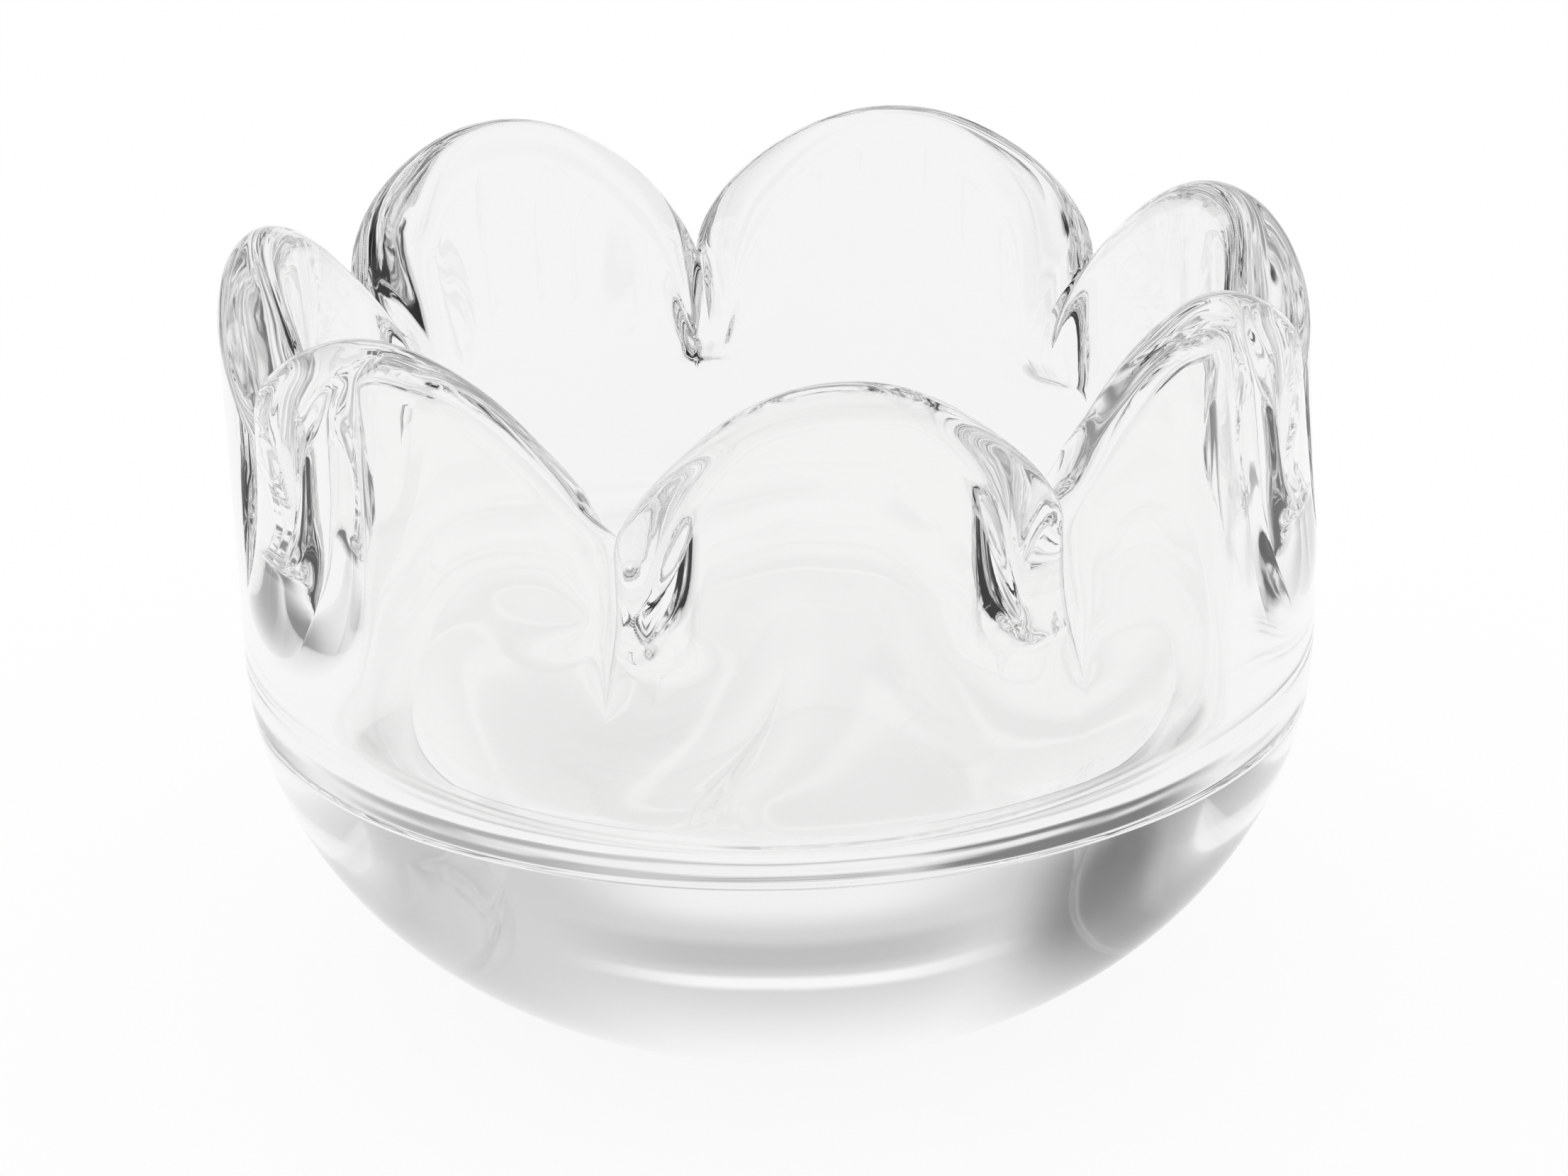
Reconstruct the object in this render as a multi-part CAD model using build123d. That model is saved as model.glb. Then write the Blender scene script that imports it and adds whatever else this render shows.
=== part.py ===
from build123d import *
import math
import os

# Floating candle bowl of clear crystal, in millimetres, +Z up.
# The origin is the middle of the flat ground foot, and the front petal faces -Y.
# The bowl is modelled as it is made: a thick plain cup, whose rim is then crimped into petals.

# Plain cup
belly_diameter = 130.0       # widest ring of the cup
belly_height = 47.5          # height of the widest ring above the foot
foot_grind = 3.7             # glass ground off the round bottom to make the flat foot
floor_below_belly = 11.5     # lowest point of the cavity floor, below the widest ring
floor_dish = 1.5             # rise of the cavity floor from its middle to its rounded corner
wall_at_belly = 9.0
wall_at_rim = 7.5
rim_above_belly = 48.5       # from the widest ring to the top of a petal
outer_lip = 4.0              # height of the rounded lip above its outer shoulder
inner_lip = 5.0              # height of the rounded lip above its inner shoulder

# Crimps
groove_start = 12.5          # plain wall outside, above the widest ring
ridge_start = 16.0           # the same inside, below the ridges
notch_drop = 17.0            # fall of the rim from a petal's top to a notch, on the outside
saddle_fall = 5.5            # further fall across the rim at a notch, towards the inside
groove_depth = 5.2           # how far a notch is pressed in, on the outside
ridge_depth = 3.0            # how far the glass stands proud below a notch, on the inside
scallop_depth = 4.5          # how far the whole inside curves in from a petal's middle to a notch
groove_run_out = 0.7         # share of the crimped wall over which a groove deepens
scallop_run_out = 0.55       # share of the wall over which the scallop deepens

# Curves of a petal, from its middle at 0 to a notch at 1
arch_roundness = 2.1
outer_arch_fall = 0.62
inner_arch_fall = 0.8
groove_tightness = 8.0
slot_edge = 0.9              # where the flat bottom of a notch starts, on the inside
ridge_edge = 0.62            # where a ridge starts to rise
scallop_edge = 0.1           # where the scallop starts to curve in

# The rim is shaped by hand, so the petals differ
rise_play = 1.0              # how much a petal's top stands high or low
lean_play = 3.4              # how much it leans out or in
# Petals from the front round to the right: name, azimuth of the notch that ends it in degrees,
# and its own share of the rise and of the lean
petals = [
    ("front", 30.0, 0.4, -0.35),
    ("right_front", 81.3, 0.4, -1.0),
    ("right_back", 135.9, -1.0, -0.44),
    ("back_right", 189.8, 0.8, -0.15),
    ("back_left", 239.2, 1.2, 0.82),
    ("left", 289.0, -0.4, 0.0),
    ("front_left", 343.5, 0.6, -0.44),
]

# Steps of the petal surface
section_steps = 30           # even steps of half a turn across a petal, so they crowd at the notches
plain_steps = 4
crimp_steps = 6
full_turn = 360
lip_pull = 4 / 3             # the lip's handles are this much longer than the height its curve reaches

# Levels and radii that follow from the sizes above
belly_radius = belly_diameter / 2
inner_belly_radius = belly_radius - wall_at_belly
floor_height = belly_height - floor_below_belly
corner_radius = floor_below_belly - floor_dish    # the corner ends at the widest ring
corner_middle = inner_belly_radius - corner_radius
dish_radius = (corner_middle ** 2 + floor_below_belly ** 2 - corner_radius ** 2) / (2 * floor_dish)
rim_height = belly_height + rim_above_belly
outer_shoulder = rim_height - outer_lip
inner_shoulder = rim_height - inner_lip
wall_height = outer_shoulder - belly_height
wall_taper = (wall_at_belly - wall_at_rim) / wall_height
bottom_depth = belly_height + foot_grind
foot_radius = belly_radius * math.sqrt(1 - (belly_height / bottom_depth) ** 2)


def ease(share):
    """Smooth step from 0 to 1."""
    share = max(0, min(1, share))
    return share * share * (3 - 2 * share)


def arch(across, fall):
    """Height of a petal's rim: 1 in its middle, 0 at a notch."""
    return (1 - min(1, across) ** arch_roundness) ** fall


def groove(across):
    """Shape of a groove round the outside: 0 over most of a petal, 1 at a notch."""
    return 1 - math.sqrt(1 - min(1, across) ** groove_tightness)


def ridge(across):
    """Shape of a ridge round the inside."""
    return ease((across - ridge_edge) / (slot_edge - ridge_edge))


def scallop(across):
    """Shape of the scallop round the inside."""
    return ease((across - scallop_edge) / (1 - scallop_edge))


def solid_base():
    """Thick round base: half an ellipse ground flat at the foot, with the cavity floor in its top."""
    foot_angle = -math.degrees(math.asin(belly_height / bottom_depth))
    dish_angle = math.asin(corner_middle / (dish_radius - corner_radius))
    dish_edge = corner_middle + corner_radius * math.sin(dish_angle)
    dish_edge_height = belly_height - corner_radius * math.cos(dish_angle)
    belly_centre = (0, belly_height)
    with BuildSketch(Plane.XZ) as profile:
        with BuildLine():
            Line((0, floor_height), (0, 0))
            Line((0, 0), (foot_radius, 0))
            EllipticalCenterArc(belly_centre, belly_radius, bottom_depth, foot_angle, arc_size=-foot_angle)
            Line((belly_radius, belly_height), (inner_belly_radius, belly_height))
            TangentArc((inner_belly_radius, belly_height), (dish_edge, dish_edge_height), tangent=(0, -1))
            TangentArc((0, floor_height), (dish_edge, dish_edge_height), tangent=(1, 0))
        make_face()
    return revolve(profile.sketch, Axis.Z)


def wall_levels(start, top):
    """Heights along the wall: the plain part in a few steps, then the crimped part."""
    crimped_from = belly_height + start
    plain = [belly_height + step / plain_steps * start for step in range(plain_steps)]
    crimped = [crimped_from + step / crimp_steps * (top - crimped_from) for step in range(crimp_steps + 1)]
    return plain + crimped


def crimped_share(level, start, top):
    """How far up the crimped part of the wall a level is, from 0 to 1."""
    crimped_from = belly_height + start
    return max(0, (level - crimped_from) / (top - crimped_from))


def wall_curve(points, levels, first_direction, last_direction):
    """Smooth curve along the wall, which every section passes at the same pace."""
    pace = [abs(level - levels[0]) for level in levels]
    return Edge.make_spline(points, tangents=[first_direction, last_direction], parameters=pace)


def wall_section(azimuth, across, rise, lean):
    """Outline of the wall in the upright plane at one azimuth of a petal."""
    turn = math.radians(azimuth)
    outer_crown = arch(across, outer_arch_fall)
    inner_crown = arch(across / slot_edge, inner_arch_fall)
    outer_lift = rise * outer_crown - notch_drop * (1 - outer_crown)
    inner_lift = rise * inner_crown - (notch_drop + saddle_fall) * (1 - inner_crown)

    def place(radius, height, level):
        climb = (level - belly_height) / wall_height
        leaning = radius + lean * outer_crown * climb ** 2
        return Vector(leaning * math.sin(turn), -leaning * math.cos(turn), height)

    def direction(slope):
        leaning = slope + 2 * lean * outer_crown / wall_height
        return Vector(leaning * math.sin(turn), -leaning * math.cos(turn), 1)

    outer = []
    outer_levels = wall_levels(groove_start, outer_shoulder)
    for level in outer_levels:
        share = crimped_share(level, groove_start, outer_shoulder)
        pressed = groove_depth * groove(across) * ease(share / groove_run_out)
        outer.append(place(belly_radius - pressed, level + share * outer_lift, level))
    inner = []
    inner_levels = wall_levels(ridge_start, inner_shoulder)
    for level in inner_levels:
        share = crimped_share(level, ridge_start, inner_shoulder)
        above_belly = level - belly_height
        radius = inner_belly_radius + wall_taper * above_belly
        radius -= ridge_depth * ridge(across) * ease(share)
        radius -= scallop_depth * scallop(across) * ease(above_belly / wall_height / scallop_run_out)
        inner.append(place(radius, level + share * inner_lift, level))

    up = Vector(0, 0, 1)
    outer_end = direction(0)
    inner_end = direction(wall_taper)
    outer_handle = outer[-1] + outer_end * (lip_pull * outer_lip)
    inner_handle = inner[-1] + inner_end * (lip_pull * inner_lip)
    return Wire([
        Line(inner[0], outer[0]),
        wall_curve(outer, outer_levels, up, outer_end),
        Bezier(outer[-1], outer_handle, inner_handle, inner[-1]),
        wall_curve(inner[::-1], inner_levels[::-1], inner_end * -1, up * -1),
    ])


def petal(start, end, rise, lean):
    """One petal of the wall, from notch to notch."""
    sections = []
    for step in range(section_steps + 1):
        across = -math.cos(math.pi * step / section_steps)
        azimuth = (start + end) / 2 + across * (end - start) / 2
        sections.append(wall_section(azimuth, abs(across), rise, lean))
    return Solid.make_loft(sections)


def save(solid, name):
    """Write one section of the glass and print what it measures."""
    solid.label = name
    export_step(solid, f"parts/{name}.step")
    print(f"{name}: {solid.volume / 1000:.1f} cm3, top {solid.bounding_box().max.Z:.1f} mm")


os.makedirs("parts", exist_ok=True)
print(f"foot {2 * foot_radius:.1f} mm across, rim {rim_height:.1f} mm high")
save(solid_base(), "solid_base")
start = petals[-1][1] - full_turn
for name, end, rise, lean in petals:
    save(petal(start, end, rise * rise_play, lean * lean_play), f"petal_{name}")
    start = end
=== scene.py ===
# %% [markdown]
# A crimped crystal bowl for a floating candle.
# The real bowl is one thick piece of clear glass. A glassworker shapes a plain cup with a heavy round base,
# warms its rim again, and pinches it at seven places, so that the rim falls into seven round petals.
# This lesson makes it in the same order: the plain cup's half outline, the rule that crimps it, the clear
# glass, and then a white studio whose grey cards give the glass its dark lines.

# %% Load the frame
import math

import bmesh
import bpy
from mathutils import Matrix, Vector


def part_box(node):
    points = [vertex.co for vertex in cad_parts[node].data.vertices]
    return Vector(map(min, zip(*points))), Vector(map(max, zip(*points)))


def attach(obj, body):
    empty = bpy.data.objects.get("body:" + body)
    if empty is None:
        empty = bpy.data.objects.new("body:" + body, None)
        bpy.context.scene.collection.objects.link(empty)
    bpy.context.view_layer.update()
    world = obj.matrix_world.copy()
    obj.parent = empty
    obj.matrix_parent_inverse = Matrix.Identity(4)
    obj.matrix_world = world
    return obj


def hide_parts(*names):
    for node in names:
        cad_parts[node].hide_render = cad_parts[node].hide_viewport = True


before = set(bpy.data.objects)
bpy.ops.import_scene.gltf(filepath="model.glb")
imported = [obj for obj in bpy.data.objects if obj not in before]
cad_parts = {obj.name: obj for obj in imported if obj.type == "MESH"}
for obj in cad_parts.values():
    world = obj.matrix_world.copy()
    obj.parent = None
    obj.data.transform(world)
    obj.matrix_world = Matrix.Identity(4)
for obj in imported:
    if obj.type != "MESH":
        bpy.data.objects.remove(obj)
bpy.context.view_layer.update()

MM = 0.001
scene = bpy.context.scene
print("nodes in the frame:", sorted(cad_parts))

# %% [markdown]
# The camera comes first, because every later choice is judged through it.
# Its place was found by matching the petals' outlines and the base's outline in the photograph, which is
# 2212 pixels wide: it stands in front of the bowl, looks down on it a little, and is turned by a degree or
# so, because the bowl leans in the picture. The lens follows from the focal length in pixels.

# %% Camera
IMAGE_WIDTH = 2212
FOCAL_PIXELS = 4908
SENSOR_WIDTH = 36.0
LOOK_DOWN = math.radians(21.3)
CAMERA_ROLL = math.radians(-1.4)
CAMERA_DISTANCE = 426 * MM
AIM_POINT = Vector((0.7, 0, 50.9)) * MM


def add_camera():
    """Put the camera where the photograph was taken from."""
    data = bpy.data.cameras.new("photo_camera")
    data.sensor_width = SENSOR_WIDTH
    data.lens = FOCAL_PIXELS * SENSOR_WIDTH / IMAGE_WIDTH
    camera = bpy.data.objects.new("photo_camera", data)
    scene.collection.objects.link(camera)
    turn = Matrix.Rotation(math.pi / 2 - LOOK_DOWN, 4, "X") @ Matrix.Rotation(CAMERA_ROLL, 4, "Z")
    back = turn.to_3x3() @ Vector((0, 0, 1))
    camera.matrix_world = Matrix.Translation(AIM_POINT + back * CAMERA_DISTANCE) @ turn
    scene.camera = camera
    return camera


camera = add_camera()
print(f"camera lens {camera.data.lens:.1f} mm at {[round(v, 3) for v in camera.location]}")

# %% [markdown]
# The plain cup is the bowl before its rim is crimped: a solid half ball, ground flat at the foot, with a
# thick wall on top. It could be lathed with the Screw modifier. Here it is drawn as half an outline, from
# the middle of the foot, round the base, up the wall, over the lip and down to the middle of the cavity
# floor, because the crimp needs to know how far along that outline each point is. The points lie on exact
# curves, because glass shows the smallest dent. The widest ring is read from the frame.

# %% Sizes of the plain cup
base_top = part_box("solid_base")[1]
BELLY_RADIUS = base_top[0]
BELLY_HEIGHT = base_top[2]
FOOT_GRIND = 3.7 * MM            # glass ground off the round bottom to make the flat foot
FLOOR_BELOW_BELLY = 11.5 * MM    # lowest point of the cavity floor, below the widest ring
FLOOR_DISH = 1.5 * MM            # rise of the cavity floor from its middle to its rounded corner
WALL_AT_BELLY = 9.0 * MM
WALL_AT_RIM = 7.5 * MM
RIM_ABOVE_BELLY = 48.5 * MM
OUTER_LIP = 4.0 * MM             # height of the rounded lip above its outer shoulder
INNER_LIP = 5.0 * MM             # height of the rounded lip above its inner shoulder
LIP_PULL = 4 / 3                 # a curve's handles are this much longer than the height it reaches

RIM_HEIGHT = BELLY_HEIGHT + RIM_ABOVE_BELLY
OUTER_SHOULDER = RIM_HEIGHT - OUTER_LIP
INNER_SHOULDER = RIM_HEIGHT - INNER_LIP
WALL_HEIGHT = OUTER_SHOULDER - BELLY_HEIGHT
INNER_RADIUS = BELLY_RADIUS - WALL_AT_BELLY
BOTTOM_DEPTH = BELLY_HEIGHT + FOOT_GRIND
FOOT_ANGLE = -math.asin(BELLY_HEIGHT / BOTTOM_DEPTH)
FOOT_RADIUS = BELLY_RADIUS * math.cos(FOOT_ANGLE)
FLOOR_HEIGHT = BELLY_HEIGHT - FLOOR_BELOW_BELLY
CORNER_RADIUS = FLOOR_BELOW_BELLY - FLOOR_DISH
CORNER_MIDDLE = INNER_RADIUS - CORNER_RADIUS
DISH_RADIUS = (CORNER_MIDDLE ** 2 + FLOOR_BELOW_BELLY ** 2 - CORNER_RADIUS ** 2) / (2 * FLOOR_DISH)
DISH_ANGLE = math.asin(CORNER_MIDDLE / (DISH_RADIUS - CORNER_RADIUS))
print(f"cup {2 * BELLY_RADIUS / MM:.1f} mm wide, foot {2 * FOOT_RADIUS / MM:.1f} mm wide")
print(f"cavity floor at {FLOOR_HEIGHT / MM:.1f} mm, rim at {RIM_HEIGHT / MM:.1f} mm")

# %% [markdown]
# The pinching tool warms and moves only the upper wall, so each point of the outline carries shares between
# 0 and 1 that say how much of the crimp reaches it: how far the rim's fall, the groove outside, the ridge and
# the scallop inside, and the petal's lean have grown at its height. They are kept as attributes of the mesh,
# where a node tree can read them, so that the tree itself stays short.

# %% How much of the crimp reaches a point
GROOVE_START = 12.5 * MM         # plain wall outside, above the widest ring
RIDGE_START = 16.0 * MM          # the same inside
GROOVE_RUN_OUT = 0.7             # share of the crimped wall over which a groove deepens
SCALLOP_RUN_OUT = 0.55           # share of the wall over which the scallop deepens
SHARES = ("wall_share", "outer_share", "groove_share", "ridge_share", "scallop_share", "lean_share")


def ease(share):
    """Smooth step from 0 to 1."""
    share = max(0.0, min(1.0, share))
    return share * share * (3 - 2 * share)


def crimped_share(height, start, top):
    """How far up the crimped part of the wall a height is, from 0 to 1."""
    crimped_from = BELLY_HEIGHT + start
    return max(0.0, min(1.0, (height - crimped_from) / (top - crimped_from)))


def outline_point(radius, height, outer_share):
    """A point of the outline with its shares; outer_share is 1 outside, 0 inside and between on the lip."""
    inner_share = 1 - outer_share
    wall_share = 1.0
    if outer_share == 1:
        wall_share = crimped_share(height, GROOVE_START, OUTER_SHOULDER)
    if inner_share == 1:
        wall_share = crimped_share(height, RIDGE_START, INNER_SHOULDER)
    climb = max(0.0, (height - BELLY_HEIGHT) / WALL_HEIGHT)
    return {
        "place": (radius, 0.0, height),
        "wall_share": wall_share,
        "outer_share": outer_share,
        "groove_share": outer_share * ease(wall_share / GROOVE_RUN_OUT),
        "ridge_share": inner_share * ease(wall_share),
        "scallop_share": inner_share * ease(climb / SCALLOP_RUN_OUT),
        "lean_share": climb * climb if climb < 1 else 2 * climb - 1,
    }


top_share = outline_point(BELLY_RADIUS, OUTER_SHOULDER, 1.0)
print("shares at the outer shoulder:", {name: round(top_share[name], 2) for name in SHARES})

# %% [markdown]
# Now the outline itself. Each stretch is the curve that the real cup has there: a flat ground foot, part of
# an ellipse for the base, an upright wall, a lip rounded by the fire, the inner wall, a round corner and a
# dished floor. The points lie closest at the foot's edge, on the lip and in the corner, where the glass turns
# most.

# %% Half outline of the plain cup
FOOT_STEPS = 14
BASE_STEPS = 52
WALL_STEPS = 34
LIP_STEPS = 28
INSIDE_STEPS = 36
CORNER_STEPS = 24
DISH_STEPS = 20


def steps(count):
    """Even steps from just above 0 to 1."""
    return [(step + 1) / count for step in range(count)]


def outside_points():
    """From the middle of the foot, round the base and up the wall to the outer shoulder."""
    points = [outline_point(0.0, 0.0, 1.0)]
    for share in steps(FOOT_STEPS):
        points.append(outline_point(FOOT_RADIUS * (1 - (1 - share) ** 2), 0.0, 1.0))
    for share in steps(BASE_STEPS):
        angle = FOOT_ANGLE * (1 - share)
        height = BELLY_HEIGHT + BOTTOM_DEPTH * math.sin(angle)
        points.append(outline_point(BELLY_RADIUS * math.cos(angle), height, 1.0))
    for share in steps(WALL_STEPS):
        points.append(outline_point(BELLY_RADIUS, BELLY_HEIGHT + WALL_HEIGHT * share, 1.0))
    return points


def wall_radius_inside(height):
    """The inner wall opens a little from the widest ring to the rim."""
    return INNER_RADIUS + (WALL_AT_BELLY - WALL_AT_RIM) * (height - BELLY_HEIGHT) / WALL_HEIGHT


def lip_points():
    """Over the lip on one curve whose handles stand straight up from both shoulders."""
    points = []
    inner_edge = wall_radius_inside(INNER_SHOULDER)
    outer_handle = OUTER_SHOULDER + LIP_PULL * OUTER_LIP
    inner_handle = INNER_SHOULDER + LIP_PULL * INNER_LIP
    for share in steps(LIP_STEPS):
        rest = 1 - share
        outer_share = rest * rest * (1 + 2 * share)
        radius = outer_share * BELLY_RADIUS + (1 - outer_share) * inner_edge
        height = rest ** 3 * OUTER_SHOULDER + 3 * rest ** 2 * share * outer_handle
        height += 3 * rest * share ** 2 * inner_handle + share ** 3 * INNER_SHOULDER
        points.append(outline_point(radius, height, outer_share))
    return points


def cavity_points():
    """Down the inner wall, round the corner and along the dished floor to its middle."""
    points = []
    for share in steps(INSIDE_STEPS):
        height = INNER_SHOULDER + (BELLY_HEIGHT - INNER_SHOULDER) * share
        points.append(outline_point(wall_radius_inside(height), height, 0.0))
    for share in steps(CORNER_STEPS):
        angle = math.pi / 2 + (DISH_ANGLE - math.pi / 2) * share
        height = BELLY_HEIGHT - CORNER_RADIUS * math.cos(angle)
        points.append(outline_point(CORNER_MIDDLE + CORNER_RADIUS * math.sin(angle), height, 0.0))
    for share in steps(DISH_STEPS):
        angle = DISH_ANGLE * (1 - share)
        height = FLOOR_HEIGHT + DISH_RADIUS * (1 - math.cos(angle))
        points.append(outline_point(DISH_RADIUS * math.sin(angle), height, 0.0))
    return points


def outline_mesh(points):
    """The outline as a mesh of points, with its shares as attributes."""
    mesh = bpy.data.meshes.new("cup_outline")
    mesh.from_pydata([point["place"] for point in points], [(i, i + 1) for i in range(len(points) - 1)], [])
    for name in SHARES:
        layer = mesh.attributes.new(name, "FLOAT", "POINT")
        layer.data.foreach_set("value", [point[name] for point in points])
    return mesh


outline = outside_points() + lip_points() + cavity_points()
print(f"outline of {len(outline)} points, highest {max(point['place'][2] for point in outline) / MM:.1f} mm")

# %% [markdown]
# The crimp is a rule that repeats round the rim, so Geometry Nodes make it. A tree in a script is many small
# nodes and links, and five helpers keep it readable: one adds a node, one feeds a socket with a link or a
# plain value, one makes a math node, one a smooth step, and one starts a tree with named inputs.

# %% Small helpers for node trees
NUMBER = "NodeSocketFloat"


def add_node(tree, kind, **settings):
    """Add a node and set its options."""
    node = tree.nodes.new(kind)
    for name, value in settings.items():
        setattr(node, name, value)
    return node


def feed(tree, socket, value):
    """Link a socket to another one, or give it a plain value."""
    if isinstance(value, bpy.types.NodeSocket):
        tree.links.new(value, socket)
    else:
        socket.default_value = value


def calc(tree, operation, *values):
    """A math node's result."""
    node = add_node(tree, "ShaderNodeMath", operation=operation)
    for socket, value in zip(node.inputs, values):
        feed(tree, socket, value)
    return node.outputs[0]


def smooth_step(tree, value, low, high):
    """Smooth step from 0 at the low value to 1 at the high one."""
    node = add_node(tree, "ShaderNodeMapRange", interpolation_type="SMOOTHSTEP")
    feed(tree, node.inputs["Value"], value)
    node.inputs["From Min"].default_value = low
    node.inputs["From Max"].default_value = high
    return node.outputs[0]


def new_tree(name, inputs, output):
    """A geometry tree with named inputs and one geometry output."""
    tree = bpy.data.node_groups.new(name, "GeometryNodeTree")
    for label, kind in inputs:
        tree.interface.new_socket(label, in_out="INPUT", socket_type=kind)
    tree.interface.new_socket(output, in_out="OUTPUT", socket_type="NodeSocketGeometry")
    return tree, add_node(tree, "NodeGroupInput"), add_node(tree, "NodeGroupOutput")


helpers = (add_node, feed, calc, smooth_step, new_tree)
print("helpers:", ", ".join(helper.__name__ for helper in helpers))

# %% [markdown]
# Each petal is the stretch of rim between two notches. Where the tool pinches, it does five things to the
# warm glass: the rim falls along a round arch, and further inside than outside, so that a notch is a saddle
# that slopes inwards; a narrow groove is pressed into the outside; the glass that it pushes stands proud
# inside as a ridge with a flat top; the whole inner wall bends in towards the notch as a scallop; and the
# petal is left leaning out or in. Each is a height or a depth, times a shape across the petal, times a share
# along the outline. A sculpted rim could look right too, but its small dents would show in the glass.

# %% Shapes across a petal, from its middle at 0 to a notch at 1
ARCH_ROUNDNESS = 2.1
OUTER_ARCH_FALL = 0.62
INNER_ARCH_FALL = 0.8
GROOVE_TIGHTNESS = 8.0
SLOT_EDGE = 0.9                  # edge of the flat bottom of a notch, on the inside
RIDGE_EDGE = 0.62
SCALLOP_EDGE = 0.1


def arch(tree, aside, fall):
    """Height of a petal's rim as a share: 1 in its middle, 0 at a notch."""
    rest = calc(tree, "SUBTRACT", 1.0, calc(tree, "POWER", aside, ARCH_ROUNDNESS))
    return calc(tree, "POWER", calc(tree, "MAXIMUM", rest, 0.0), fall)


def rim_lift(tree, rise, drop, crown):
    """How far the rim goes up in a petal's middle, and down at a notch."""
    sunk = calc(tree, "MULTIPLY", drop, calc(tree, "SUBTRACT", 1.0, crown))
    return calc(tree, "SUBTRACT", calc(tree, "MULTIPLY", rise, crown), sunk)


def crimped_height(tree, get, share, aside, height):
    """The rim falls towards the notches, and further inside than outside."""
    slot_aside = calc(tree, "MINIMUM", calc(tree, "DIVIDE", aside, SLOT_EDGE), 1.0)
    inner_drop = calc(tree, "ADD", get["Notch drop"], get["Saddle fall"])
    outer_lift = rim_lift(tree, get["Rise"], get["Notch drop"], arch(tree, aside, OUTER_ARCH_FALL))
    inner_lift = rim_lift(tree, get["Rise"], inner_drop, arch(tree, slot_aside, INNER_ARCH_FALL))
    extra = calc(tree, "SUBTRACT", outer_lift, inner_lift)
    lift = calc(tree, "MULTIPLY_ADD", extra, share["outer_share"], inner_lift)
    return calc(tree, "MULTIPLY_ADD", lift, share["wall_share"], height)


def crimped_radius(tree, get, share, aside, radius):
    """Groove, ridge and scallop move the wall inwards, and the petal leans."""
    flat = calc(tree, "SUBTRACT", 1.0, calc(tree, "POWER", aside, GROOVE_TIGHTNESS))
    groove = calc(tree, "SUBTRACT", 1.0, calc(tree, "SQRT", calc(tree, "MAXIMUM", flat, 0.0)))
    ridge = smooth_step(tree, aside, RIDGE_EDGE, SLOT_EDGE)
    scallop = smooth_step(tree, aside, SCALLOP_EDGE, 1.0)
    shapes = [(groove, "groove_share", "Groove depth"), (ridge, "ridge_share", "Ridge depth"),
              (scallop, "scallop_share", "Scallop depth")]
    for shape, along, depth in shapes:
        moved = calc(tree, "MULTIPLY", calc(tree, "MULTIPLY", shape, share[along]), get[depth])
        radius = calc(tree, "SUBTRACT", radius, moved)
    lean = calc(tree, "MULTIPLY", get["Lean"], arch(tree, aside, OUTER_ARCH_FALL))
    return calc(tree, "MULTIPLY_ADD", lean, share["lean_share"], radius)


print(f"a notch is flat over {100 * (1 - SLOT_EDGE):.0f} % of half a petal inside")

# %% [markdown]
# One tree shapes one petal. It lays a grid whose rows are the points of the outline, moves each row to its
# place on the crimped cup, and turns the columns about the axis from one notch to the next. The columns crowd
# together at the notches, where the glass folds most, so few faces are enough.

# %% The rule that crimps one petal
COLUMNS = 45
CRIMP_SIZES = [(name, NUMBER) for name in
               ("Notch drop", "Saddle fall", "Groove depth", "Ridge depth", "Scallop depth")]
PETAL_INPUTS = [("Outline", "NodeSocketGeometry")]
PETAL_INPUTS += [(name, NUMBER) for name in ("Start", "End", "Rise", "Lean")]


def petal_grid(tree, rows):
    """A flat grid, with the row of each point and its place across the petal, from -1 to 1."""
    grid = add_node(tree, "GeometryNodeMeshGrid")
    grid.inputs["Vertices X"].default_value = COLUMNS
    grid.inputs["Vertices Y"].default_value = rows
    index = add_node(tree, "GeometryNodeInputIndex").outputs[0]
    row = calc(tree, "MODULO", index, rows)
    column = calc(tree, "DIVIDE", calc(tree, "SUBTRACT", index, row), rows)
    turn = calc(tree, "MULTIPLY_ADD", column, math.pi / (COLUMNS - 1), -math.pi / 2)
    return grid.outputs["Mesh"], row, calc(tree, "SINE", turn)


def at_row(tree, outline, row, value, kind):
    """A value of the outline's point that belongs to a row."""
    sample = add_node(tree, "GeometryNodeSampleIndex", data_type=kind, domain="POINT")
    feed(tree, sample.inputs["Geometry"], outline)
    feed(tree, sample.inputs["Value"], value)
    feed(tree, sample.inputs["Index"], row)
    return sample.outputs[0]


def outline_shares(tree, outline, row):
    """All the shares of the outline at a row."""
    found = {}
    for name in SHARES:
        source = add_node(tree, "GeometryNodeInputNamedAttribute", data_type="FLOAT")
        source.inputs["Name"].default_value = name
        found[name] = at_row(tree, outline, row, source.outputs["Attribute"], "FLOAT")
    return found


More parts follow.
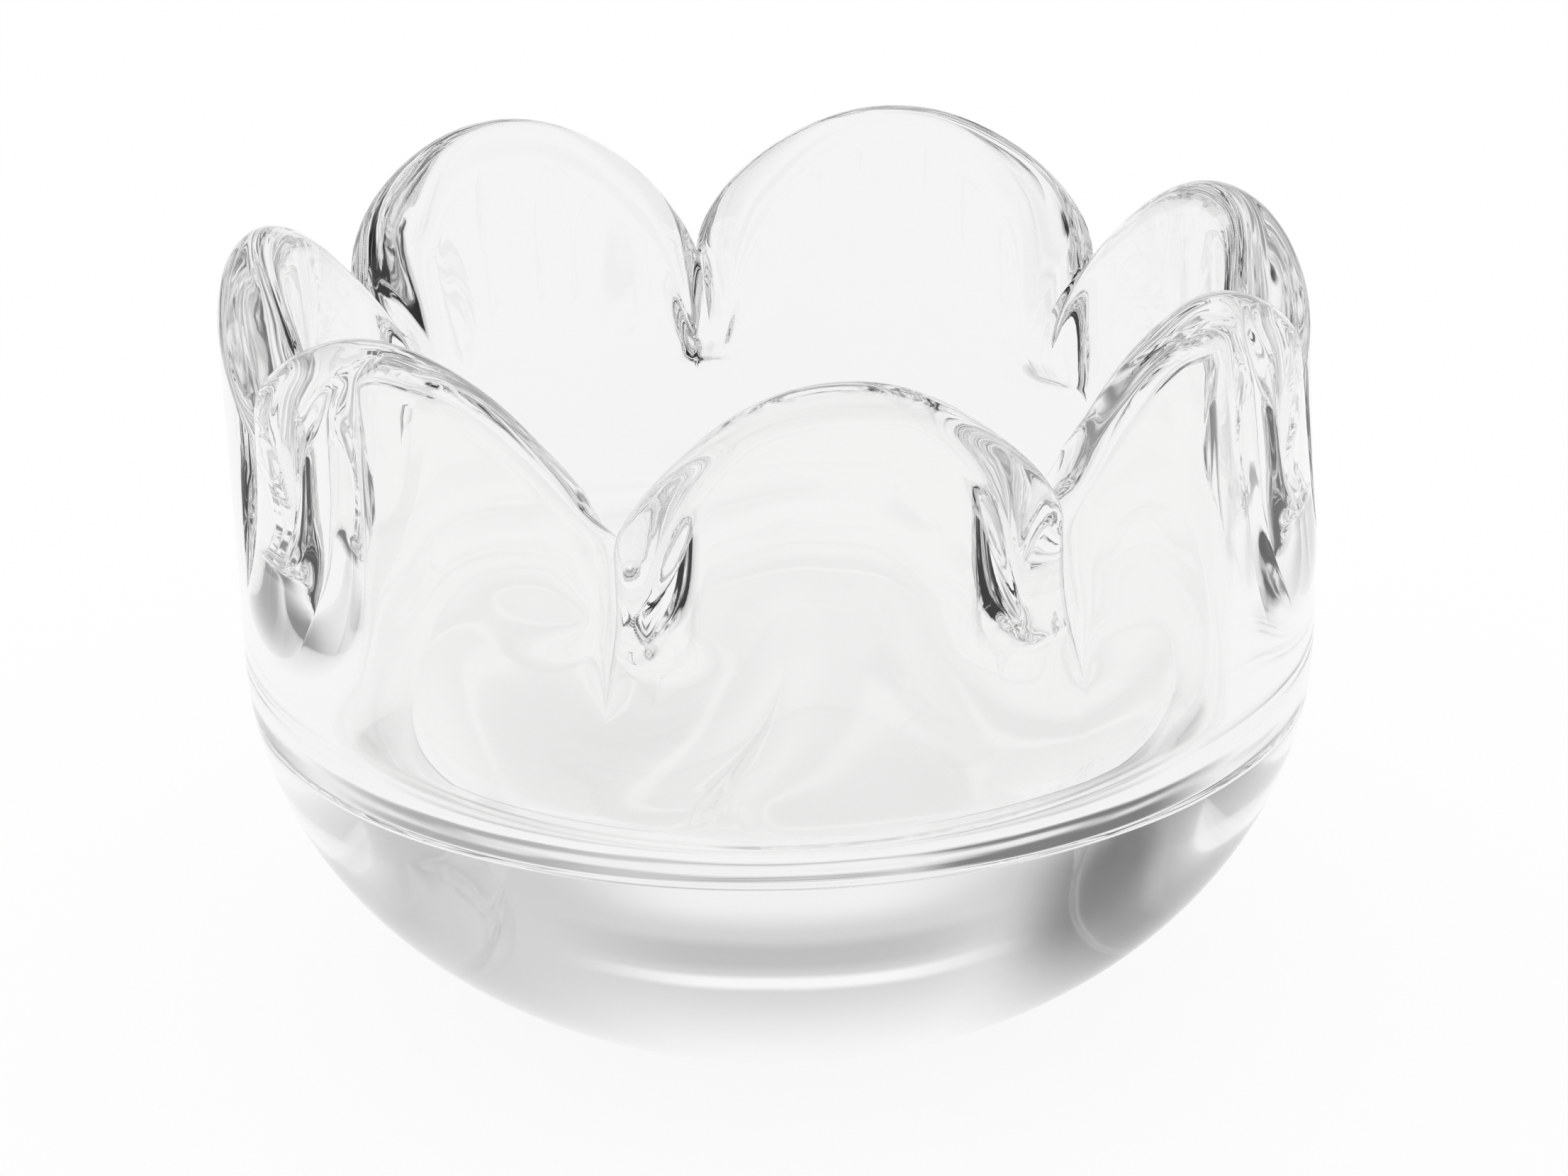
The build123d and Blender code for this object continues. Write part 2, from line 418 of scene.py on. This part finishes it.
def petal_tree(rows):
    """Tree for one petal, from the middle of the foot to the middle of the floor."""
    tree, given, result = new_tree("Crimped petal", PETAL_INPUTS + CRIMP_SIZES, "Petal")
    get = given.outputs
    grid, row, across = petal_grid(tree, rows)
    aside = calc(tree, "ABSOLUTE", across)
    share = outline_shares(tree, get["Outline"], row)
    position = add_node(tree, "GeometryNodeInputPosition").outputs[0]
    place = add_node(tree, "ShaderNodeSeparateXYZ")
    feed(tree, place.inputs[0], at_row(tree, get["Outline"], row, position, "FLOAT_VECTOR"))
    height = crimped_height(tree, get, share, aside, place.outputs["Z"])
    radius = crimped_radius(tree, get, share, aside, place.outputs["X"])

    half = calc(tree, "DIVIDE", calc(tree, "SUBTRACT", get["End"], get["Start"]), 2.0)
    middle = calc(tree, "DIVIDE", calc(tree, "ADD", get["End"], get["Start"]), 2.0)
    azimuth = calc(tree, "MULTIPLY_ADD", across, half, middle)
    away = calc(tree, "MULTIPLY", radius, calc(tree, "COSINE", azimuth))
    spot = add_node(tree, "ShaderNodeCombineXYZ")
    feed(tree, spot.inputs["X"], calc(tree, "MULTIPLY", radius, calc(tree, "SINE", azimuth)))
    feed(tree, spot.inputs["Y"], calc(tree, "MULTIPLY", away, -1.0))
    feed(tree, spot.inputs["Z"], height)
    moved = add_node(tree, "GeometryNodeSetPosition")
    feed(tree, moved.inputs["Geometry"], grid)
    feed(tree, moved.inputs["Position"], spot.outputs[0])
    feed(tree, result.inputs[0], moved.outputs[0])
    return tree


petal_rule = petal_tree(len(outline))
print(f"petal rule of {len(petal_rule.nodes)} nodes, grid of {COLUMNS} by {len(outline)} points")

# %% [markdown]
# A second tree joins the seven petals, which differ a little because they are shaped by hand: each has its
# own width, height and lean, measured in the photograph. The fire that smooths the rim also leaves faint,
# long waves in the surface, too shallow to feel, which draw the streaks along the rims. They push inwards
# only, so the bowl keeps its size, and they fade out towards the foot, which is ground flat.

# %% The rule that joins seven petals into a bowl
RISE_PLAY = 1.0 * MM             # how much a petal's top stands high or low
LEAN_PLAY = 3.4 * MM             # how much it leans out or in
FULL_TURN = 360
WELD = 0.002 * MM                # points nearer to each other than this become one
WAVE_DETAIL = 1.0
FOOT_FADE = 6.0 * MM             # height above the foot over which the waves grow
# Petals from the front round to the right: name, azimuth of the notch that ends it in degrees,
# and its own share of the rise and of the lean
PETALS = [
    ("front", 30.0, 0.4, -0.35),
    ("right_front", 81.3, 0.4, -1.0),
    ("right_back", 135.9, -1.0, -0.44),
    ("back_right", 189.8, 0.8, -0.15),
    ("back_left", 239.2, 1.2, 0.82),
    ("left", 289.0, -0.4, 0.0),
    ("front_left", 343.5, 0.6, -0.44),
]


def join_petals(tree, given):
    """All the petals, welded where they meet."""
    join = add_node(tree, "GeometryNodeJoinGeometry")
    start = PETALS[-1][1] - FULL_TURN
    for name, end, rise, lean in PETALS:
        petal = add_node(tree, "GeometryNodeGroup", node_tree=petal_rule, label=name)
        feed(tree, petal.inputs["Outline"], given["Outline"])
        petal.inputs["Start"].default_value = math.radians(start)
        petal.inputs["End"].default_value = math.radians(end)
        petal.inputs["Rise"].default_value = rise * RISE_PLAY
        petal.inputs["Lean"].default_value = lean * LEAN_PLAY
        for size, kind in CRIMP_SIZES:
            feed(tree, petal.inputs[size], given[size])
        tree.links.new(petal.outputs[0], join.inputs[0])
        start = end
    weld = add_node(tree, "GeometryNodeMergeByDistance")
    feed(tree, weld.inputs["Geometry"], join.outputs[0])
    weld.inputs["Distance"].default_value = WELD
    return weld.outputs[0]


def fire_waves(tree, glass, height, scale):
    """Push the surface inwards in faint waves that fade out towards the foot."""
    noise = add_node(tree, "ShaderNodeTexNoise", noise_dimensions="3D")
    feed(tree, noise.inputs["Scale"], scale)
    noise.inputs["Detail"].default_value = WAVE_DETAIL
    place = add_node(tree, "ShaderNodeSeparateXYZ")
    feed(tree, place.inputs[0], add_node(tree, "GeometryNodeInputPosition").outputs[0])
    fade = calc(tree, "MINIMUM", calc(tree, "DIVIDE", place.outputs["Z"], FOOT_FADE), 1.0)
    depth = calc(tree, "MULTIPLY", calc(tree, "MULTIPLY", noise.outputs[0], height), fade)
    offset = add_node(tree, "ShaderNodeVectorMath", operation="SCALE")
    feed(tree, offset.inputs[0], add_node(tree, "GeometryNodeInputNormal").outputs[0])
    feed(tree, offset.inputs["Scale"], calc(tree, "MULTIPLY", depth, -1.0))
    waved = add_node(tree, "GeometryNodeSetPosition")
    feed(tree, waved.inputs["Geometry"], glass)
    feed(tree, waved.inputs["Offset"], offset.outputs[0])
    return waved.outputs[0]


def bowl_tree():
    """Tree that joins the petals, waves the glass a little and gives it its material."""
    inputs = [("Outline", "NodeSocketGeometry")] + CRIMP_SIZES
    inputs += [("Wave height", NUMBER), ("Wave scale", NUMBER), ("Glass", "NodeSocketMaterial")]
    tree, given, result = new_tree("Crimped bowl", inputs, "Bowl")
    get = given.outputs
    waved = fire_waves(tree, join_petals(tree, get), get["Wave height"], get["Wave scale"])
    smooth = add_node(tree, "GeometryNodeSetShadeSmooth")
    feed(tree, smooth.inputs["Geometry"], waved)
    real = add_node(tree, "GeometryNodeRealizeInstances")
    feed(tree, real.inputs["Geometry"], smooth.outputs[0])
    dressed = add_node(tree, "GeometryNodeSetMaterial")
    feed(tree, dressed.inputs["Geometry"], real.outputs[0])
    feed(tree, dressed.inputs["Material"], get["Glass"])
    feed(tree, result.inputs[0], dressed.outputs[0])
    return tree


bowl_rule = bowl_tree()
print(f"bowl rule of {len(bowl_rule.nodes)} nodes joins {len(PETALS)} petals")

# %% [markdown]
# The glass is crystal: clear, heavy, and a little stronger at bending light than window glass. Its surface is
# fire polished, but not everywhere alike. Drawing the wall up leaves fine upright cords, which a stretched
# noise gives as a very faint bump. The foot is ground flat and polished again, so it is a little duller than
# the rest, with a soft change at its edge. Colour, index and transmission are the same all over, so they are
# plain values on the shader.

# %% Clear crystal
CRYSTAL_COLOUR = (0.985, 0.985, 0.981, 1.0)
CRYSTAL_INDEX = 1.54
POLISHED = 0.015                 # roughness of the fire-polished glass
GROUND = 0.09                    # roughness that the ground foot has on top of it
GROUND_EDGE = 0.6 * MM           # height over which the foot's dullness fades out
CORD_SCALE = 110.0               # cords to a metre
CORD_STRETCH = 14.0              # how much longer than wide a cord is
CORD_DEPTH = 0.004 * MM
HANDLING_SCALE = 60.0
HANDLING = 0.012                 # roughness that handling adds at most


def upright_cords(tree, place):
    """Faint upright cords in the surface, as a normal."""
    stretch = add_node(tree, "ShaderNodeMapping")
    feed(tree, stretch.inputs["Vector"], place)
    stretch.inputs["Scale"].default_value = (CORD_SCALE, CORD_SCALE, CORD_SCALE / CORD_STRETCH)
    noise = add_node(tree, "ShaderNodeTexNoise")
    feed(tree, noise.inputs["Vector"], stretch.outputs[0])
    noise.inputs["Scale"].default_value = 1.0
    bump = add_node(tree, "ShaderNodeBump")
    bump.inputs["Distance"].default_value = CORD_DEPTH
    feed(tree, bump.inputs["Height"], noise.outputs[0])
    return bump.outputs[0]


def polish(tree, place):
    """Roughness: polished glass with faint handling marks, and a duller ground foot."""
    parts = add_node(tree, "ShaderNodeSeparateXYZ")
    feed(tree, parts.inputs[0], place)
    clear_of_foot = smooth_step(tree, parts.outputs["Z"], 0.0, GROUND_EDGE)
    marks = add_node(tree, "ShaderNodeTexNoise")
    feed(tree, marks.inputs["Vector"], place)
    marks.inputs["Scale"].default_value = HANDLING_SCALE
    handled = calc(tree, "MULTIPLY_ADD", marks.outputs[0], HANDLING, POLISHED)
    return calc(tree, "MULTIPLY_ADD", calc(tree, "SUBTRACT", 1.0, clear_of_foot), GROUND, handled)


def clear_crystal():
    """Polished crystal with upright cords and a ground foot."""
    material = bpy.data.materials.new("fire_polished_crystal")
    material.use_nodes = True
    tree = material.node_tree
    place = add_node(tree, "ShaderNodeTexCoord").outputs["Object"]
    shader = tree.nodes["Principled BSDF"]
    shader.inputs["Base Color"].default_value = CRYSTAL_COLOUR
    shader.inputs["IOR"].default_value = CRYSTAL_INDEX
    shader.inputs["Transmission Weight"].default_value = 1.0
    feed(tree, shader.inputs["Roughness"], polish(tree, place))
    feed(tree, shader.inputs["Normal"], upright_cords(tree, place))
    return material


crystal = clear_crystal()
print(f"{crystal.name}: index {CRYSTAL_INDEX}, roughness {POLISHED} and up, {GROUND} more on the foot")

# %% [markdown]
# Now the rule runs. Its inputs are set on the modifier before the first evaluation, and the evaluated result
# is copied to a plain mesh, because the finished piece carries no modifier. The bowl is one piece of glass,
# so it stands for all eight CAD nodes at once: glass with inner faces would show every cut.

# %% Crimp the bowl
NOTCH_DROP = 17.0 * MM           # fall of the rim from a petal's top to a notch, on the outside
SADDLE_FALL = 5.5 * MM           # further fall across the rim at a notch, towards the inside
GROOVE_DEPTH = 5.2 * MM          # how far a notch is pressed in, on the outside
RIDGE_DEPTH = 3.0 * MM           # how far the glass stands proud below a notch, on the inside
SCALLOP_DEPTH = 4.5 * MM         # how far the whole inside curves in from a petal's middle to a notch
WAVE_HEIGHT = 0.06 * MM
WAVE_SCALE = 45.0                # waves to a metre
LITRES = 1000                    # litres in a cubic metre


def set_inputs(modifier, values):
    """Set a modifier's inputs by their sockets' identifiers."""
    for item in modifier.node_group.interface.items_tree:
        if item.name in values:
            modifier[item.identifier] = values[item.name]


def crimp_bowl():
    """Run the rule on the outline and keep the result as a plain mesh."""
    holder = bpy.data.objects.new("cup_outline", outline_mesh(outline))
    scene.collection.objects.link(holder)
    modifier = holder.modifiers.new("crimp", "NODES")
    modifier.node_group = bowl_rule
    set_inputs(modifier, {
        "Notch drop": NOTCH_DROP,
        "Saddle fall": SADDLE_FALL,
        "Groove depth": GROOVE_DEPTH,
        "Ridge depth": RIDGE_DEPTH,
        "Scallop depth": SCALLOP_DEPTH,
        "Wave height": WAVE_HEIGHT,
        "Wave scale": WAVE_SCALE,
        "Glass": crystal,
    })
    shaped = holder.evaluated_get(bpy.context.evaluated_depsgraph_get())
    mesh = bpy.data.meshes.new_from_object(shaped)
    bpy.data.objects.remove(holder)
    bowl = bpy.data.objects.new("crystal_bowl", mesh)
    scene.collection.objects.link(bowl)
    return bowl


def close_bowl(bowl):
    """Merge what is left double at the axis, turn all faces outwards and measure the glass."""
    work = bmesh.new()
    work.from_mesh(bowl.data)
    bmesh.ops.remove_doubles(work, verts=work.verts, dist=WELD)
    bmesh.ops.recalc_face_normals(work, faces=work.faces)
    open_edges = sum(1 for edge in work.edges if len(edge.link_faces) != 2)
    litres = LITRES * work.calc_volume(signed=True)
    work.to_mesh(bowl.data)
    work.free()
    print(f"bowl: {len(bowl.data.polygons)} faces, {open_edges} open edges, {litres:.3f} litres of glass")


bowl = crimp_bowl()
close_bowl(bowl)
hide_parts("solid_base", *[f"petal_{petal[0]}" for petal in PETALS])
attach(bowl, "root")

# %% [markdown]
# The studio is a white room with a white floor, as for glass in a catalogue. The floor is matt, so it keeps
# the bowl's soft shadow. Part of its white is a glow that only the camera and the glass see: that keeps the
# picture's background clean without throwing more light on the bowl. Through the glass the glow's share is
# larger, because the shaded floor right under the bowl would fill the cavity with grey. A catalogue picture
# is often cut out on pure white, while its glass keeps the room that it stood in. So through the glass the
# whole room is a little dimmer than the camera sees it.

# %% Floor and world
FLOOR_SIZE = 6.0
FLOOR_GAP = 0.05 * MM            # keeps the floor's face apart from the foot's
FLOOR_SHADE = 0.98
FLOOR_GLOW = 0.88                # share of the floor's white that is glow, as the camera sees it
GLOW_IN_GLASS = 0.93             # the same, as seen through the glass
ROOM_IN_GLASS = 0.92             # brightness of the white room as seen through the glass


def grey(shade):
    """A grey colour of one shade."""
    return (shade, shade, shade, 1.0)


def room_brightness(tree):
    """White for the camera, and a little dimmer through the glass."""
    through_glass = add_node(tree, "ShaderNodeLightPath").outputs["Is Transmission Ray"]
    return calc(tree, "MULTIPLY_ADD", through_glass, ROOM_IN_GLASS - 1, 1.0)


def glow_share(tree):
    """Share of glow in the floor, which the camera and the glass see and no other ray does."""
    path = add_node(tree, "ShaderNodeLightPath").outputs
    seen = calc(tree, "MAXIMUM", path["Is Camera Ray"], path["Is Glossy Ray"])
    seen = calc(tree, "MAXIMUM", seen, path["Is Transmission Ray"])
    extra = GLOW_IN_GLASS - FLOOR_GLOW
    share = calc(tree, "MULTIPLY_ADD", path["Is Transmission Ray"], extra, FLOOR_GLOW)
    return calc(tree, "MULTIPLY", seen, share)


def white_floor_material():
    """Matt white with a share of glow for the camera and the glass."""
    material = bpy.data.materials.new("floor_white")
    material.use_nodes = True
    tree = material.node_tree
    matt = tree.nodes["Principled BSDF"]
    matt.inputs["Base Color"].default_value = grey(FLOOR_SHADE)
    matt.inputs["Roughness"].default_value = 1.0
    matt.inputs["Specular IOR Level"].default_value = 0.0
    glow = add_node(tree, "ShaderNodeEmission")
    feed(tree, glow.inputs["Strength"], room_brightness(tree))
    mix = add_node(tree, "ShaderNodeMixShader")
    feed(tree, mix.inputs["Fac"], glow_share(tree))
    feed(tree, mix.inputs[1], matt.outputs[0])
    feed(tree, mix.inputs[2], glow.outputs[0])
    feed(tree, tree.nodes["Material Output"].inputs["Surface"], mix.outputs[0])
    return material


def add_floor():
    """Pale floor just under the foot."""
    mesh = bpy.data.meshes.new("floor")
    half = FLOOR_SIZE / 2
    corners = [(-half, -half), (half, -half), (half, half), (-half, half)]
    mesh.from_pydata([(x, y, -FLOOR_GAP) for x, y in corners], [], [(0, 1, 2, 3)])
    mesh.materials.append(white_floor_material())
    floor = bpy.data.objects.new("floor", mesh)
    scene.collection.objects.link(floor)


def white_world():
    """An evenly white room."""
    world = bpy.data.worlds.new("white_room")
    world.use_nodes = True
    tree = world.node_tree
    background = tree.nodes["Background"]
    background.inputs["Color"].default_value = grey(1.0)
    feed(tree, background.inputs["Strength"], room_brightness(tree))
    scene.world = world


add_floor()
white_world()
print(f"white room over a floor of {FLOOR_SIZE:.0f} m")

# %% [markdown]
# In an evenly white room clear glass would vanish. So grey cards with soft edges hang round the bowl, outside
# the picture, as a photographer sets them, and the glass bends their images into the dark lines that draw its
# edges. The thick base turns the cards behind the bowl upside down and shows them as its bands. The camera
# doesn't see the cards, and they take no light from the floor.

# %% Cards
CARD_STEPS = 16
SOFT_EDGE = 0.7                  # share of a card's half width over which it fades in
# Name, distance in metres, azimuth and elevation of its middle, width and height in degrees, and shade
CARDS = [
    ("back_left_wall", 1.50, 230, 22, 70, 52, 0.12),
    ("back_right_wall", 1.48, 131, 18, 88, 46, 0.4),
    ("back_panel", 1.46, 176, 20, 84, 26, 0.6),
    ("back_left_panel", 1.44, 213, 20, 34, 22, 0.15),
    ("back_window", 1.42, 180, 11.5, 36, 13, 0.88),
    ("back_band", 1.40, 180, 20.7, 44, 5.5, 0.45),
    ("back_slit", 1.38, 181, 24.2, 44, 2.2, 0.95),
    ("left_card", 1.36, 290, 43, 50, 46, 0.08),
    ("front_card", 1.34, 33, 40, 130, 60, 0.3),
]


def card_material(name, shade):
    """A grey that fades out towards the card's edges."""
    material = bpy.data.materials.new(name)
    material.use_nodes = True
    tree = material.node_tree
    tree.nodes.clear()
    light = add_node(tree, "ShaderNodeEmission")
    light.inputs["Color"].default_value = grey(shade)
    cover = add_node(tree, "ShaderNodeAttribute", attribute_name="cover")
    mix = add_node(tree, "ShaderNodeMixShader")
    feed(tree, mix.inputs["Fac"], cover.outputs["Fac"])
    feed(tree, mix.inputs[1], add_node(tree, "ShaderNodeBsdfTransparent").outputs[0])
    feed(tree, mix.inputs[2], light.outputs[0])
    feed(tree, add_node(tree, "ShaderNodeOutputMaterial").inputs["Surface"], mix.outputs[0])
    material.cycles.emission_sampling = "NONE"
    return material


def card_mesh(name, distance, azimuth, elevation, width, height):
    """A sheet bent round the bowl, with its soft edges as an attribute."""
    line = CARD_STEPS + 1
    places = []
    covers = []
    for index in range(line * line):
        x = 2 * (index % line) / CARD_STEPS - 1
        y = 2 * (index // line) / CARD_STEPS - 1
        turn = math.radians(azimuth + x * width / 2)
        lift = math.radians(elevation + y * height / 2)
        level = math.cos(lift)
        places.append(distance * Vector((level * math.sin(turn), -level * math.cos(turn), math.sin(lift))))
        covers.append(ease((1 - abs(x)) / SOFT_EDGE) * ease((1 - abs(y)) / SOFT_EDGE))
    corners = [row * line + column for row in range(CARD_STEPS) for column in range(CARD_STEPS)]
    mesh = bpy.data.meshes.new(name)
    mesh.from_pydata(places, [], [(i, i + 1, i + 1 + line, i + line) for i in corners])
    mesh.attributes.new("cover", "FLOAT", "POINT").data.foreach_set("value", covers)
    return mesh


def add_card(name, distance, azimuth, elevation, width, height, shade):
    """Hang one card where only the glass sees it."""
    card = bpy.data.objects.new(name, card_mesh(name, distance, azimuth, elevation, width, height))
    card.data.materials.append(card_material(name, shade))
    scene.collection.objects.link(card)
    card.visible_camera = False
    card.visible_diffuse = False
    card.visible_shadow = False


for card in CARDS:
    add_card(*card)
print(f"{len(CARDS)} cards")

# %% [markdown]
# Last come the settings that glass needs: light passes many surfaces on its way through the folded rim, so
# it is followed for more bounces than usual.

# %% View settings
BOUNCES = 32
GLOSSY_BOUNCES = 16
scene.view_settings.view_transform = "Standard"
scene.cycles.max_bounces = BOUNCES
scene.cycles.transmission_bounces = BOUNCES
scene.cycles.glossy_bounces = GLOSSY_BOUNCES
